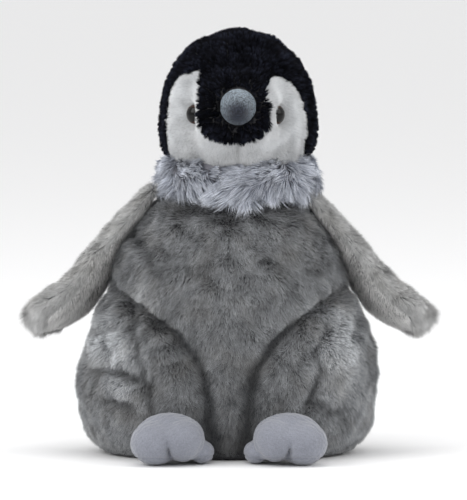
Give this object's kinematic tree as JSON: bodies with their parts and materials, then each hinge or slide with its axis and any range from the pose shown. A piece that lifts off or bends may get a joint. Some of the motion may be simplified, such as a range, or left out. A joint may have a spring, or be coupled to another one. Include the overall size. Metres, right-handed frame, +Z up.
{
  "type": "plush penguin chick",
  "caption": "Sitting plush penguin chick with a black hood, white cheeks, grey frosted pile, a tufted neck ruff, hanging flippers and toed feet.",
  "frame": {"origin": "on the floor, in the middle of the flat seat, under the axis of the torso", "axes": "+Z up through the head, the face looks along -Y, the toy's own left side is +X"},
  "size_m": [0.225, 0.1778, 0.238],
  "materials": {
    "body_pile": "frosted mid-grey pile about 9 mm long",
    "wing_pile": "frosted light grey pile about 10 mm long",
    "wing_lining": "pale grey short pile",
    "ruff_pile": "silver-grey tufted pile about 20 mm long",
    "black_pile": "bluish black short pile",
    "white_pile": "white short pile",
    "beak_cloth": "shimmering grey velour",
    "foot_suede": "short-nap suede cloth",
    "eye_plastic": "brown iris and black pupil under a glossy dome",
    "washer_plastic": "plain moulded",
    "stuffing": "loose white polyester fibre",
    "bag_cloth": "plain woven",
    "pellets": "small plastic grains",
    "thread": "sewing thread",
    "label_cloth": "blank white satin"
  },
  "bodies": {
    "torso": {"belly_panel": "body_pile", "back_panel_left": "body_pile", "back_panel_right": "body_pile", "base_panel": "body_pile", "haunch_panel_left": "body_pile", "haunch_panel_right": "body_pile", "haunch_fill_left": "stuffing", "haunch_fill_right": "stuffing", "body_fill": "stuffing", "pellet_bag": "bag_cloth", "pellet_fill": "pellets", "closing_thread": "thread", "care_label": "label_cloth"},
    "neck": {"neck_ruff": "ruff_pile", "neck_fill": "stuffing"},
    "head": {"hood_left": "black_pile", "hood_right": "black_pile", "face_blaze": "black_pile", "cheek_left": "white_pile", "cheek_right": "white_pile", "head_fill": "stuffing", "beak_upper": "beak_cloth", "beak_lower": "beak_cloth", "beak_fill": "stuffing", "eye_left": "eye_plastic", "eye_right": "eye_plastic", "eye_washer_left": "washer_plastic", "eye_washer_right": "washer_plastic"},
    "wing_left": {"wing_left_outer": "wing_pile", "wing_left_inner": "wing_lining", "wing_left_fill": "stuffing"},
    "wing_right": {"wing_right_outer": "wing_pile", "wing_right_inner": "wing_lining", "wing_right_fill": "stuffing"},
    "foot_left": {"foot_left_upper": "foot_suede", "foot_left_sole": "foot_suede", "foot_left_fill": "stuffing"},
    "foot_right": {"foot_right_upper": "foot_suede", "foot_right_sole": "foot_suede", "foot_right_fill": "stuffing"},
    "tail": {"tail_upper": "body_pile", "tail_lower": "body_pile", "tail_fill": "stuffing"}
  },
  "joints": [
    {"name": "neck_nod", "type": "hinge", "parent": "torso", "child": "neck", "pos_m": [0.005, 0, 0.16], "axis": [1, 0, 0], "range_deg": [-10, 10], "stiffness_Nm_per_rad": 0.4},
    {"name": "head_turn", "type": "hinge", "parent": "neck", "child": "head", "pos_m": [0.005, 0, 0.165], "axis": [0, 0, 1], "range_deg": [-35, 35], "stiffness_Nm_per_rad": 0.15},
    {"name": "wing_left_lift", "type": "hinge", "parent": "torso", "child": "wing_left", "pos_m": [0.0496, 0, 0.139], "axis": [0, -1, 0], "range_deg": [0, 60], "stiffness_Nm_per_rad": 0.03},
    {"name": "wing_right_lift", "type": "hinge", "parent": "torso", "child": "wing_right", "pos_m": [-0.0496, 0, 0.139], "axis": [0, 1, 0], "range_deg": [0, 60], "stiffness_Nm_per_rad": 0.03},
    {"name": "foot_left_flex", "type": "hinge", "parent": "torso", "child": "foot_left", "pos_m": [0.028, -0.061, 0.027], "axis": [-0.9781, -0.2079, 0], "range_deg": [0, 25], "stiffness_Nm_per_rad": 0.08},
    {"name": "foot_right_flex", "type": "hinge", "parent": "torso", "child": "foot_right", "pos_m": [-0.028, -0.061, 0.027], "axis": [-0.9781, 0.2079, 0], "range_deg": [0, 25], "stiffness_Nm_per_rad": 0.08},
    {"name": "tail_flex", "type": "hinge", "parent": "torso", "child": "tail", "pos_m": [0, 0.0633, 0.019], "axis": [1, 0, 0], "range_deg": [0, 30], "stiffness_Nm_per_rad": 0.02}
  ]
}
